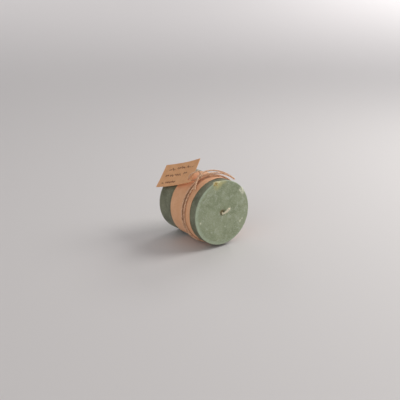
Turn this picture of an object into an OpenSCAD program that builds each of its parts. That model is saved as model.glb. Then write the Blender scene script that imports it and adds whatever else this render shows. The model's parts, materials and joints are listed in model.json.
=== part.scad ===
// Short round pillar candle, lying on its side, in a kraft paper band that a
// jute tie holds twice round, with a kraft card tag on the tie.
//
// Every module is drawn in the candle's own frame: the candle's axis is Y, its
// wick end is at y = 0 and its base is at y = candle_l, and +Z points to the
// crest. Angles round the axis start at the crest and grow towards +X.
// lay_down() then tips the candle on to the floor, z = 0, where it rests on
// its base rim and on the rear turn of the tie.

/* [Candle] */
// Diameter of the wax pillar
candle_d = 65; // [60:0.5:75]
// Length of the wax pillar
candle_l = 65; // [60:0.5:80]
// Radius of the rounded rims
rim_r = 0.8; // [0.4:0.1:2]

/* [Wick] */
// Diameter of the braided wick
wick_d = 2.2; // [1.5:0.1:3]
// Clearance round the wick in the wax and in the tab's neck
wick_gap = 0.05; // [0.02:0.01:0.1]
// Diameter of the tinplate tab under the wax
tab_d = 20; // [14:0.5:30]
// Length of the tab's crimped neck
tab_neck_l = 6; // [4:0.5:10]

/* [Band] */
// Distance of the paper band from the wick end
band_y = 9.5; // [6:0.5:12]
// Width of the paper band
band_w = 33.5; // [25:0.5:40]
// Thickness of the kraft paper
paper_t = 0.18; // [0.15:0.01:0.25]

/* [Tie] */
// Diameter of the jute twine
twine_d = 1.4; // [1:0.1:1.6]
// Place of the front turn, from the wick end
turn_front_y = 17.5; // [16.5:0.5:18]
// Distance between the two turns
turn_pitch = 3.9; // [3.4:0.1:4.4]

/* [Tag] */
// Length of the card tag
tag_l = 49; // [44:0.5:50]
// Height of the card tag
tag_h = 28.7; // [26:0.1:30]
// Thickness of the card
tag_t = 0.4; // [0.3:0.05:0.6]
// Diameter of the punched hole
tag_hole_d = 4; // [3.6:0.1:4.5]

/* [Hidden] */

$fn = 96;
EPS = 0.01;
BIG = 300;

candle_r = candle_d / 2;
wick_r = wick_d / 2;
twine_r = twine_d / 2;

// Tab: a disc just inside the base, with a neck that grips the wick
tab_t = 0.4;
tab_inset = 0.1;
tab_gap = 0.05;
tab_neck_r = 2;

// Melt pit round the wick
pit_r = 4;
pit_depth = 1.2;

// Wick stub: it leaves the wax on the axis, sags a little and leans over towards +X and up
stub_route = [[0, 1.3, 0], [-0.2, -0.6, -0.6], [2.2, -2.6, 1.3], [5.3, -4.2, 4.6]];

// Yellow wax fragment set in the front rim
inclusion_from = -19;
inclusion_sweep = 14;
inclusion_in = 3.8;
inclusion_depth = 4;
inclusion_gap = 0.03;

// Knocks in the front rim: angle, width and depth of each flat cut
rim_knocks = [[-57, 3.5, 0.7], [52.6, 5, 0.9], [128, 4, 0.6]];

// Band: a sleeve with a glued lap on the underside, away from the tie's knot
band_gap = 0.05;
glue_t = 0.08;
band_r_in = candle_r + band_gap;
band_r_out = band_r_in + paper_t;
lap_r_in = band_r_out + glue_t;
lap_r_out = lap_r_in + paper_t;
lap_from = 112;
lap_sweep = 24;
lap_step = 2;

// Tie: two turns over the band, each open where its ends rise to the knot
tie_gap = 0.06;
turn_rear_y = turn_front_y + turn_pitch;
turn_r = lap_r_out + tie_gap + twine_r;
turn_from = 2;
turn_to = 322;
knot_y = turn_front_y + turn_pitch / 2;

// How far the rear turn is pressed flat where the candle rests on it
twine_press = 0.2;
rest_r = turn_r + twine_r - twine_press;
pivot_y = candle_l - rim_r;
tilt = atan((rest_r - candle_r) / (pivot_y - turn_rear_y));

// Routes of the free stretches of twine, as [angle, height over the turns,
// distance behind the knot]
knot_core = [[-15, 3.2, -0.2], [-22.5, 3, 0.5]];
knot_core_r = 2;
loop_route = [
    [-16, 4.6, 0.6], [-11, 5.2, 0.8], [-4, 5.1, 0.6], [5, 4.7, 0.2], [14, 4.3, -0.3],
    [22, 4.0, -0.8], [30, 3.9, -1.3], [37, 3.9, -1.7], [43, 4.1, -2.2], [46, 4.0, -3.3],
    [44.5, 3.6, -4.5], [39, 3.1, -5.0], [32, 2.9, -5.0], [24, 2.8, -4.8], [15, 2.8, -4.3],
    [6, 2.9, -3.4], [-3, 3.0, -2.2], [-11, 3.1, -1.0]
];
tail_route = [
    [-19, 4.4, -0.6], [-22.5, 4.4, -1.4], [-28.5, 3.3, -2.6], [-36, 1.9, -4.4], [-43.5, 0.9, -6.4]
];
thread_route = [
    [-18, 4.6, 0.9], [-16.5, 6.4, 1.2], [-17, 8.0, 1.6], [-20.5, 8.8, 2.4], [-26, 8.9, 3.8],
    [-31, 8.0, 5.3], [-32.7, 5.4, 5.8], [-32, 3.4, 5.2], [-28.5, 2.3, 3.2], [-24.5, 2.6, 1.6]
];
lead_rise = 2.0;
RING_SIDES = 8;

// Tag: hangs by its hole near one corner, and leans over the crest's -X side
tag_centre = [-19.1, 47.9, 33.6];
tag_lean = 41;
tag_rise = 16;
tag_heading = 76.3;
tag_hole = [20.5, -9.85];

// Middle of the whole object's box on the floor, from the base rim's lowest point
rest_centre = [-0.14, -26.72];

// A point from its angle round the axis, its radius and its distance from the wick end
function on_ring(angle, r, y) = [r * sin(angle), y, r * cos(angle)];
function over_turns(p) = on_ring(p[0], turn_r + p[1], knot_y + p[2]);
function unit(v) = v / norm(v);

// Catmull-Rom curve through the points of a route, `per` steps to each span
function route_at(p, i) = p[max(0, min(len(p) - 1, i))];
function spline(a, b, c, d, t) =
    0.5 * (2 * b + (c - a) * t + (2 * a - 5 * b + 4 * c - d) * t * t
           + (3 * b - a - 3 * c + d) * t * t * t);
function smooth(p, per) = [
    for (i = [0:len(p) - 2], k = [0:per - 1])
        spline(route_at(p, i - 1), p[i], p[i + 1], route_at(p, i + 2), k / per),
    p[len(p) - 1]
];

// Tube of radius r swept along a route that never runs the way `across` points
module tube(p, r, across = [0, 1, 0]) {
    last = len(p) - 1;
    rings = [
        for (i = [0:last])
            let (
                t = unit(route_at(p, i + 1) - route_at(p, i - 1)),
                u = unit(cross(t, across)),
                v = cross(t, u)
            )
            for (k = [0:RING_SIDES - 1])
                p[i] + r * (cos(k * 360 / RING_SIDES) * u + sin(k * 360 / RING_SIDES) * v)
    ];
    sides = [
        for (i = [0:last - 1], k = [0:RING_SIDES - 1])
            let (
                a = i * RING_SIDES + k,
                b = i * RING_SIDES + (k + 1) % RING_SIDES
            )
            each [[a, a + RING_SIDES, b], [b, a + RING_SIDES, b + RING_SIDES]]
    ];
    start = [for (k = [0:RING_SIDES - 1]) k];
    end = [for (k = [0:RING_SIDES - 1]) last * RING_SIDES + RING_SIDES - 1 - k];
    polyhedron(points = rings, faces = concat([start], sides, [end]), convexity = 6);
}

// Turns a solid drawn round Z so that Z becomes the candle's axis and X the given angle
module about_axis(from = 0) {
    rotate([-90, -90, 0]) rotate([0, 0, from]) children();
}

// Tips the candle on to the floor and centres the whole object over the origin
module lay_down() {
    translate([-rest_centre[0], -rest_centre[1], 0])
        rotate([-tilt, 0, 0])
            translate([0, -pivot_y, candle_r])
                children();
}

module below_floor() {
    translate([-BIG / 2, -BIG / 2, -BIG]) cube(BIG);
}

// The pillar's outer shape: a cylinder with both rims rounded
module pillar() {
    about_axis() rotate_extrude() {
        square([candle_r - rim_r, candle_l]);
        translate([0, rim_r]) square([candle_r, candle_l - 2 * rim_r]);
        for (y = [rim_r, candle_l - rim_r])
            translate([candle_r - rim_r, y]) circle(rim_r, $fn = 48);
    }
}

// Block of the front rim that the yellow fragment fills, grown by gap on its inner sides
module inclusion_block(gap) {
    gap_angle = gap / candle_r * 180 / PI;
    about_axis(inclusion_from - gap_angle)
        rotate_extrude(angle = inclusion_sweep + 2 * gap_angle)
            translate([candle_r - inclusion_in - gap, -1])
                square([inclusion_in + gap + 1, inclusion_depth + gap + 1]);
}

// Flat cut across the front rim
module rim_knock(angle, width, depth) {
    about_axis(angle)
        translate([candle_r - depth, 0, 0])
            rotate([0, -45, 0])
                translate([0, -width / 2, -width / 2 - 1])
                    cube([width, width, width]);
}

module wax_body() {
    color([0.50, 0.55, 0.44])
    lay_down() difference() {
        pillar();
        about_axis() {
            translate([0, 0, -1]) cylinder(r = wick_r + wick_gap, h = candle_l + 2);
            translate([0, 0, -EPS]) cylinder(r1 = pit_r, r2 = wick_r + wick_gap, h = pit_depth);
            translate([0, 0, candle_l - tab_inset - tab_t - tab_gap])
                cylinder(r = tab_d / 2 + tab_gap, h = tab_t + tab_inset + 1);
            translate([0, 0, candle_l - tab_inset - tab_t - tab_neck_l - tab_gap])
                cylinder(r = tab_neck_r + tab_gap, h = tab_neck_l + 1);
        }
        inclusion_block(inclusion_gap);
        for (k = rim_knocks) rim_knock(k[0], k[1], k[2]);
    }
}

module rim_inclusion() {
    color([0.76, 0.68, 0.38])
    lay_down() intersection() {
        pillar();
        inclusion_block(0);
    }
}

module wick() {
    color([0.90, 0.86, 0.72])
    lay_down()
        tube(concat([[0, candle_l - tab_inset, 0]], smooth(stub_route, 3)), wick_r, [1, 0, -1]);
}

module wick_tab() {
    color([0.75, 0.76, 0.77])
    lay_down() about_axis() difference() {
        union() {
            translate([0, 0, candle_l - tab_inset - tab_t]) cylinder(r = tab_d / 2, h = tab_t);
            translate([0, 0, candle_l - tab_inset - tab_t - tab_neck_l])
                cylinder(r = tab_neck_r, h = tab_neck_l + EPS);
        }
        translate([0, 0, candle_l - tab_neck_l - 2])
            cylinder(r = wick_r + wick_gap, h = tab_neck_l + 3);
    }
}

// Wedge of the band's cross-section between two angles
module sector(from, to) {
    reach = 2 * candle_r;
    polygon(concat([[0, 0]], [
        for (a = [from, (from + to) / 2, to]) reach * [cos(a), sin(a)]
    ]));
}

// Part of a ring of the band's cross-section between two radii and two angles
module arc_strip(r_in, r_out, from, to) {
    intersection() {
        difference() {
            circle(r_out);
            circle(r_in);
        }
        sector(from, to);
    }
}

// Gives a cross-section the band's width, in the band's place
module across_band() {
    about_axis() translate([0, 0, band_y]) linear_extrude(band_w) children();
}

// The sheet goes once round and ends in a lap that lies over its start
module paper_band() {
    color([0.75, 0.56, 0.42])
    lay_down() across_band() difference() {
        union() {
            circle(band_r_out);
            intersection() {
                circle(lap_r_out);
                sector(lap_from - lap_step, lap_from + lap_sweep);
            }
        }
        circle(band_r_in);
        arc_strip(band_r_out, lap_r_in, lap_from, lap_from + lap_sweep + 1);
    }
}

module band_glue() {
    color([0.85, 0.80, 0.66])
    lay_down() across_band()
        arc_strip(band_r_out, lap_r_in, lap_from + 1, lap_from + lap_sweep - 1);
}

// One turn of the tie, pressed flat where it meets the floor
module turn(y) {
    difference() {
        lay_down()
            about_axis(turn_from)
                rotate_extrude(angle = turn_to - turn_from)
                    translate([turn_r, y]) circle(twine_r, $fn = 24);
        below_floor();
    }
}

module twine_turn_front() {
    color([0.66, 0.50, 0.36]) turn(turn_front_y);
}

module twine_turn_rear() {
    color([0.62, 0.46, 0.33]) turn(turn_rear_y);
}

// End of a turn, rising from the band to the knot
module lead(end_angle, knot_angle, side) {
    half = turn_pitch / 2 * side;
    tube([
        for (k = [0:4])
            let (s = k / 4, ease = s * s * (3 - 2 * s))
            over_turns([
                end_angle + (knot_angle - end_angle) * s,
                lead_rise * ease,
                half * (1 - 0.8 * ease)
            ])
    ], twine_r);
}

module twine_knot() {
    color([0.72, 0.55, 0.40])
    lay_down() {
        for (side = [-1, 1]) {
            lead(turn_from - EPS, knot_core[0][0], side);
            lead(turn_to - 360 + EPS, knot_core[1][0], side);
        }
        hull() for (p = knot_core) translate(over_turns(p)) sphere(knot_core_r, $fn = 24);
    }
}

module twine_bow_loop() {
    color([0.78, 0.60, 0.45])
    lay_down() tube(smooth([for (p = loop_route) over_turns(p)], 2), twine_r);
}

module twine_tail() {
    color([0.82, 0.62, 0.44])
    lay_down() tube(smooth([for (p = tail_route) over_turns(p)], 2), twine_r);
}

module tag_thread() {
    color([0.68, 0.54, 0.40])
    lay_down() tube(smooth([for (p = thread_route) over_turns(p)], 2), twine_r - 0.1);
}

module tag() {
    color([0.72, 0.55, 0.40])
    lay_down()
        translate(tag_centre)
            rotate([tag_lean, -tag_rise, -tag_heading])
                difference() {
                    translate([-tag_l / 2, -tag_h / 2, -tag_t / 2]) cube([tag_l, tag_h, tag_t]);
                    translate([tag_hole[0], tag_hole[1], -1]) cylinder(d = tag_hole_d, h = 2);
                }
}

wax_body();
rim_inclusion();
wick();
wick_tab();
paper_band();
band_glue();
twine_turn_front();
twine_turn_rear();
twine_knot();
twine_bow_loop();
twine_tail();
tag_thread();
tag();
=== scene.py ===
"""A short pillar candle lying on its side, in a kraft band tied twice round with jute.

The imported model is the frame. Each sub-assembly is a class that models its pieces in the
candle's own frame, where the axis is Y, the wick face is at y = 0 and +Z points to the crest,
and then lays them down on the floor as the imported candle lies. Angles round the axis start at
the crest and grow towards +X. Sizes in the classes are millimetres, and meshes are metres.
"""

import json
import logging
import math
import random
from dataclasses import dataclass, field
from enum import Enum
from typing import Callable, Iterable, Sequence

import bpy
import numpy as np
from mathutils import Euler, Matrix, Vector, noise


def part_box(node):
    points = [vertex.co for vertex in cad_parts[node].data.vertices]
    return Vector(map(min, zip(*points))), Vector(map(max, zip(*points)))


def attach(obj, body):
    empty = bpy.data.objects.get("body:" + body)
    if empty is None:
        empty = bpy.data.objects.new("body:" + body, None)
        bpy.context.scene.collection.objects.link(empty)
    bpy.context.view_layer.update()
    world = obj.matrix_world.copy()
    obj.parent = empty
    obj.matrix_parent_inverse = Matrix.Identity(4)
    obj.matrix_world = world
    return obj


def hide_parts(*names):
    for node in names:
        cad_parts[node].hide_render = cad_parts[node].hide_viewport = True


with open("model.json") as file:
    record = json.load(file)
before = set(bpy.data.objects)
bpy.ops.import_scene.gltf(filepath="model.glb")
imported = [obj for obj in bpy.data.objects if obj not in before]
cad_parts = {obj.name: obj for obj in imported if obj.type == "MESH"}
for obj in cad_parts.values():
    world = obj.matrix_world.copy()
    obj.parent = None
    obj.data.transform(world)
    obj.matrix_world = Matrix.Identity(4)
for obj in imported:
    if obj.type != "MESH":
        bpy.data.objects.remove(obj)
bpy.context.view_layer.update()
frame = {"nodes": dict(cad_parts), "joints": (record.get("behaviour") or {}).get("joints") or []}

MM = 0.001
TIE_Y = 19.45  # millimetres from the wick face to the middle of the two turns of twine
LOG = logging.getLogger("pillar_candle")

Socket = bpy.types.NodeSocket
Colour = tuple[float, float, float]
Route = Sequence[tuple[float, float, float]]
Strand = tuple[np.ndarray, np.ndarray]


class Body(Enum):
    """The bodies that the pieces ride on."""

    CANDLE = "candle"
    BAND = "band"
    TIE = "tie"
    TAG = "tag"


# ---------------------------------------------------------------- how the candle lies


@dataclass(frozen=True)
class Lie:
    """How the candle lies in the frame.

    Args:
        face: Middle of the wick face, in metres.
        tilt: Angle that the axis dips towards the base, in radians.
        radius: Radius of the pillar, in millimetres.
        length: Length of the pillar, in millimetres.
    """

    face: Vector
    tilt: float
    radius: float
    length: float

    @classmethod
    def from_frame(cls, rim_radius: float) -> "Lie":
        """Read the pillar's size and place from its box and from the band's slide.

        Args:
            rim_radius: Radius of the pillar's rounded rims, in millimetres.

        Returns:
            The candle's lie.
        """
        low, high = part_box("wax_body")
        size = (high - low) / MM
        slide = next(j for j in frame["joints"] if j["name"] == "band_slide")
        axis = -Vector(slide["axis"]).normalized()
        tilt = math.asin(-axis.z)
        radius = size.x / 2
        across = 2 * (radius - rim_radius) * math.sin(tilt)
        length = (size.y - across - 2 * rim_radius) / math.cos(tilt) + 2 * rim_radius
        face = (low + high) / 2 - axis * length * MM / 2
        return cls(face, tilt, radius, length)

    @property
    def matrix(self) -> Matrix:
        """The candle's own frame, in metres, to the row frame."""
        return Matrix.Translation(self.face) @ Matrix.Rotation(-self.tilt, 4, "X")

    def place(self, points: np.ndarray) -> np.ndarray:
        """Take points in millimetres in the candle's frame to metres in the row frame.

        Args:
            points: An array of n points.

        Returns:
            The n points in the row frame.
        """
        turn = np.array(self.matrix.to_3x3())
        return points * MM @ turn.T + np.array(self.face)


def on_ring(angle: float, radius: float, y: float) -> Vector:
    """A point from its angle round the axis in degrees, its radius and its place along it."""
    turn = math.radians(angle)
    return Vector((radius * math.sin(turn), y, radius * math.cos(turn)))


def ease(share: float) -> float:
    """Smooth step from 0 to 1."""
    share = min(1.0, max(0.0, share))
    return share * share * (3 - 2 * share)


# ---------------------------------------------------------------- modelling helpers


def deselect_all() -> None:
    """Go to object mode with nothing selected."""
    if bpy.context.object is not None and bpy.context.object.mode != "OBJECT":
        bpy.ops.object.mode_set(mode="OBJECT")
    bpy.ops.object.select_all(action="DESELECT")


def take(piece: bpy.types.Object) -> None:
    """Make one piece the only selected and active one."""
    deselect_all()
    piece.select_set(True)
    bpy.context.view_layer.objects.active = piece


def tidy_normals(piece: bpy.types.Object) -> None:
    """Merge doubled points and turn every face outwards."""
    take(piece)
    bpy.ops.object.mode_set(mode="EDIT")
    bpy.ops.mesh.select_all(action="SELECT")
    bpy.ops.mesh.remove_doubles(threshold=0.002 * MM)
    bpy.ops.mesh.normals_make_consistent(inside=False)
    bpy.ops.object.mode_set(mode="OBJECT")


def spin_outline(name: str, outline: Sequence[tuple[float, float]], steps: int) -> bpy.types.Object:
    """Extrude a closed outline point by point and spin it round the candle's axis.

    Args:
        name: Name of the new piece.
        outline: Points as (radius, place along the axis), in millimetres.
        steps: Number of steps round.

    Returns:
        A closed ring-shaped piece in the candle's frame.
    """
    deselect_all()
    bpy.ops.mesh.primitive_plane_add(size=MM, location=(0, 0, 0))
    piece = bpy.context.object
    piece.name = piece.data.name = name
    bpy.ops.object.mode_set(mode="EDIT")
    bpy.ops.mesh.select_all(action="SELECT")
    bpy.ops.mesh.merge(type="CENTER")
    corners = [Vector((r * MM, y * MM, 0.0)) for r, y in [*outline, outline[0]]]
    bpy.ops.transform.translate(value=corners[0])
    here = corners[0]
    for corner in corners[1:]:
        bpy.ops.mesh.extrude_vertices_move(TRANSFORM_OT_translate={"value": corner - here})
        here = corner
    bpy.ops.mesh.select_all(action="SELECT")
    bpy.ops.mesh.remove_doubles(threshold=0.002 * MM)
    bpy.ops.mesh.spin(steps=steps, angle=2 * math.pi, center=(0, 0, 0), axis=(0, 1, 0))
    bpy.ops.object.mode_set(mode="OBJECT")
    tidy_normals(piece)
    return piece


def wrap_grid(
    name: str, columns: int, rows: int, place: Callable[[float, float], Vector]
) -> bpy.types.Object:
    """Add a flat grid with its UV map and wrap it on to a surface.

    Args:
        name: Name of the new piece.
        columns: Faces along u.
        rows: Faces along v.
        place: Gives the point, in millimetres, at u and v from 0 to 1.

    Returns:
        The wrapped sheet in the candle's frame.
    """
    deselect_all()
    bpy.ops.mesh.primitive_grid_add(
        x_subdivisions=columns, y_subdivisions=rows, size=1, location=(0, 0, 0), calc_uvs=True
    )
    piece = bpy.context.object
    piece.name = piece.data.name = name
    for vertex in piece.data.vertices:
        vertex.co = place(vertex.co.x + 0.5, vertex.co.y + 0.5) * MM
    return piece


def thicken(piece: bpy.types.Object, thickness: float, offset: float = 0.0) -> None:
    """Give a sheet its thickness in millimetres; offset -1 puts it all on the inner side."""
    take(piece)
    wall = piece.modifiers.new("Thickness", "SOLIDIFY")
    wall.thickness = thickness * MM
    wall.offset = offset
    wall.use_even_offset = True
    bpy.ops.object.modifier_apply(modifier=wall.name)


def read_points(piece: bpy.types.Object) -> np.ndarray:
    """The piece's vertices as an array, in millimetres."""
    flat = np.empty(len(piece.data.vertices) * 3)
    piece.data.vertices.foreach_get("co", flat)
    return flat.reshape(-1, 3) / MM


def write_points(piece: bpy.types.Object, points: np.ndarray) -> None:
    """Set the piece's vertices from an array, in millimetres."""
    piece.data.vertices.foreach_set("co", (points * MM).ravel())
    piece.data.update()


def lay_down(piece: bpy.types.Object, lie: Lie, smooth_angle: float = 40.0) -> None:
    """Move a piece's mesh from the candle's frame to its place on the floor and shade it smooth."""
    piece.data.transform(lie.matrix)
    piece.data.update()
    take(piece)
    bpy.ops.object.shade_smooth_by_angle(angle=math.radians(smooth_angle))


def transport(path: np.ndarray) -> tuple[np.ndarray, np.ndarray, np.ndarray]:
    """Frames that follow a path without twisting.

    Args:
        path: Points along the path.

    Returns:
        The unit tangents and two unit vectors across them.
    """
    tangents = np.gradient(path, axis=0)
    tangents /= np.linalg.norm(tangents, axis=1)[:, None]
    across = np.empty_like(tangents)
    guess = np.cross(tangents[0], (0.31, 0.87, 0.38))
    for i, tangent in enumerate(tangents):
        guess = guess - tangent * (guess @ tangent)
        guess = guess / np.linalg.norm(guess)
        across[i] = guess
    return tangents, across, np.cross(tangents, across)


def resample(path: np.ndarray, step: float) -> np.ndarray:
    """Points at even distances of about step along a path."""
    lengths = np.concatenate([[0.0], np.cumsum(np.linalg.norm(np.diff(path, axis=0), axis=1))])
    count = max(2, int(round(lengths[-1] / step)) + 1)
    even = np.linspace(0.0, lengths[-1], count)
    return np.stack([np.interp(even, lengths, path[:, k]) for k in range(3)], axis=1)


def smooth_route(points: Sequence[Vector], per: int = 12) -> np.ndarray:
    """Catmull-Rom curve through points, with per steps to each span."""
    made = []
    last = len(points) - 1
    for i in range(last):
        a, b = points[max(0, i - 1)], points[i]
        c, d = points[i + 1], points[min(last, i + 2)]
        for k in range(per):
            t = k / per
            made.append(
                0.5 * (2 * b + (c - a) * t + (2 * a - 5 * b + 4 * c - d) * t * t
                       + (3 * b - a - 3 * c + d) * t ** 3)
            )
    made.append(points[last])
    return np.array([tuple(p) for p in made])


def sweep(name: str, strands: Iterable[Strand], sides: int) -> bpy.types.Object:
    """Sweep closed tubes along strands, with a UV map of metres along and turns round.

    Args:
        name: Name of the new piece.
        strands: Pairs of a path and the radius at each of its points, in millimetres.
        sides: Sides of each tube.

    Returns:
        One mesh piece in the candle's frame.
    """
    points, faces, uvs = [], [], []
    turns = np.arange(sides) * 2 * math.pi / sides
    across, up = np.cos(turns)[None, :, None], np.sin(turns)[None, :, None]
    base = 0
    for path, radii in strands:
        _, u, v = transport(path)
        run = np.concatenate([[0.0], np.cumsum(np.linalg.norm(np.diff(path, axis=0), axis=1))])
        ring = across * u[:, None, :] + up * v[:, None, :]
        points.append((path[:, None, :] + ring * radii[:, None, None]).reshape(-1, 3))
        for i in range(len(path) - 1):
            for k in range(sides):
                a, b = base + i * sides + k, base + i * sides + (k + 1) % sides
                faces.append((a, b, b + sides, a + sides))
                near, far = run[i] * MM, run[i + 1] * MM
                left, right = k / sides, (k + 1) / sides
                uvs += [(near, left), (near, right), (far, right), (far, left)]
        last = base + (len(path) - 1) * sides
        faces.append(tuple(base + k for k in reversed(range(sides))))
        faces.append(tuple(last + k for k in range(sides)))
        uvs += [(0.0, 0.0)] * sides + [(run[-1] * MM, 0.0)] * sides
        base += len(path) * sides
    mesh = bpy.data.meshes.new(name)
    mesh.from_pydata((np.concatenate(points) * MM).tolist(), [], faces)
    layer = mesh.uv_layers.new(name="UVMap")
    layer.data.foreach_set("uv", np.array(uvs, np.float32).ravel())
    piece = bpy.data.objects.new(name, mesh)
    bpy.context.scene.collection.objects.link(piece)
    return piece


# ---------------------------------------------------------------- finishes


def tone(red: int, green: int, blue: int) -> Colour:
    """A colour from its eight-bit screen values, as linear light."""
    return tuple(
        c / 12.92 if c <= 0.04045 else ((c + 0.055) / 1.055) ** 2.4
        for c in (red / 255, green / 255, blue / 255)
    )


class Shader:
    """Builds one procedural material round a Principled shader."""

    def __init__(self, name: str) -> None:
        """Start a material.

        Args:
            name: Name of the material.
        """
        self.material = bpy.data.materials.new(name)
        self.material.use_nodes = True
        self.nodes = self.material.node_tree.nodes
        self.surface = self.nodes["Principled BSDF"]

    def node(self, kind: str, **settings) -> bpy.types.Node:
        """Add a node and set its properties."""
        made = self.nodes.new(kind)
        for key, value in settings.items():
            setattr(made, key, value)
        return made

    def feed(self, value, socket: Socket) -> None:
        """Link a socket, or set a plain value or colour, on an input."""
        if isinstance(value, bpy.types.NodeSocket):
            self.material.node_tree.links.new(value, socket)
        elif isinstance(value, tuple) and socket.type == "RGBA":
            socket.default_value = (*value, 1.0)
        else:
            socket.default_value = value

    def object_coords(self) -> Socket:
        """The piece's Object coordinates."""
        return self.node("ShaderNodeTexCoord").outputs["Object"]

    def candle_coords(self, lie: Lie) -> Socket:
        """Object coordinates turned into the candle's own frame, in metres."""
        turn = self.node("ShaderNodeMapping", vector_type="TEXTURE")
        self.feed(self.object_coords(), turn.inputs["Vector"])
        turn.inputs["Location"].default_value = lie.face
        turn.inputs["Rotation"].default_value = (-lie.tilt, 0, 0)
        return turn.outputs["Vector"]

    def uv_coords(self, along: float = 1.0, across: float = 1.0) -> Socket:
        """The piece's own UV map, scaled."""
        scale = self.node("ShaderNodeMapping")
        self.feed(self.node("ShaderNodeTexCoord").outputs["UV"], scale.inputs["Vector"])
        scale.inputs["Scale"].default_value = (along, across, 1.0)
        return scale.outputs["Vector"]

    def noise(
        self, coords: Socket, scale: float, detail: float = 3.0, distortion: float = 0.0
    ) -> Socket:
        """Noise from 0 to 1 at a scale in cycles per unit."""
        made = self.node("ShaderNodeTexNoise")
        self.feed(coords, made.inputs["Vector"])
        made.inputs["Scale"].default_value = scale
        made.inputs["Detail"].default_value = detail
        made.inputs["Distortion"].default_value = distortion
        return made.outputs["Fac"]

    def stretched(
        self, coords: Socket, scale: tuple[float, float, float], turn: float
    ) -> Socket:
        """Coordinates turned about Y by an angle in degrees and then scaled."""
        laid = self.node("ShaderNodeMapping", vector_type="TEXTURE")
        self.feed(coords, laid.inputs["Vector"])
        laid.inputs["Rotation"].default_value = (0, math.radians(turn), 0)
        laid.inputs["Scale"].default_value = tuple(1 / part for part in scale)
        return laid.outputs["Vector"]

    def cells(self, coords: Socket, scale: float) -> Socket:
        """Distance to the nearest of a scatter of points."""
        made = self.node("ShaderNodeTexVoronoi")
        self.feed(coords, made.inputs["Vector"])
        made.inputs["Scale"].default_value = scale
        return made.outputs["Distance"]

    def attribute(self, name: str) -> Socket:
        """A float attribute of the mesh."""
        return self.node("ShaderNodeAttribute", attribute_name=name).outputs["Fac"]

    def math(self, operation: str, a, b=0.0) -> Socket:
        """A Math node."""
        made = self.node("ShaderNodeMath", operation=operation)
        self.feed(a, made.inputs[0])
        self.feed(b, made.inputs[1])
        return made.outputs[0]

    def ramp(self, value, low: float, high: float, top: float = 1.0, bottom: float = 0.0) -> Socket:
        """Map low..high smoothly to bottom..top, clamped."""
        made = self.node("ShaderNodeMapRange", interpolation_type="SMOOTHSTEP")
        for socket, given in zip(made.inputs[:5], (value, low, high, bottom, top)):
            self.feed(given, socket)
        return made.outputs[0]

    def near(self, coords: Socket, point: Vector, radius: float, soft: float = 0.5) -> Socket:
        """1 at a point given in millimetres, falling to 0 at a radius in millimetres."""
        apart = self.node("ShaderNodeVectorMath", operation="DISTANCE")
        self.feed(coords, apart.inputs[0])
        apart.inputs[1].default_value = point * MM
        return self.ramp(apart.outputs["Value"], radius * MM, radius * MM * (1 - soft))

    def mix(self, share, below, above) -> Socket:
        """Lay one colour over another."""
        made = self.node("ShaderNodeMix", data_type="RGBA")
        self.feed(share, made.inputs["Factor"])
        self.feed(below, made.inputs[6])
        self.feed(above, made.inputs[7])
        return made.outputs[2]

    def bump(self, height: Socket, depth: float, under: Socket | None = None) -> Socket:
        """Bump of a depth in millimetres, on top of another bump."""
        made = self.node("ShaderNodeBump")
        made.inputs["Distance"].default_value = depth * MM
        self.feed(height, made.inputs["Height"])
        if under is not None:
            self.feed(under, made.inputs["Normal"])
        return made.outputs["Normal"]

    def set(self, **values) -> None:
        """Set or link inputs of the Principled shader, named with underscores for spaces."""
        for key, value in values.items():
            self.feed(value, self.surface.inputs[key.replace("_", " ")])


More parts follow.
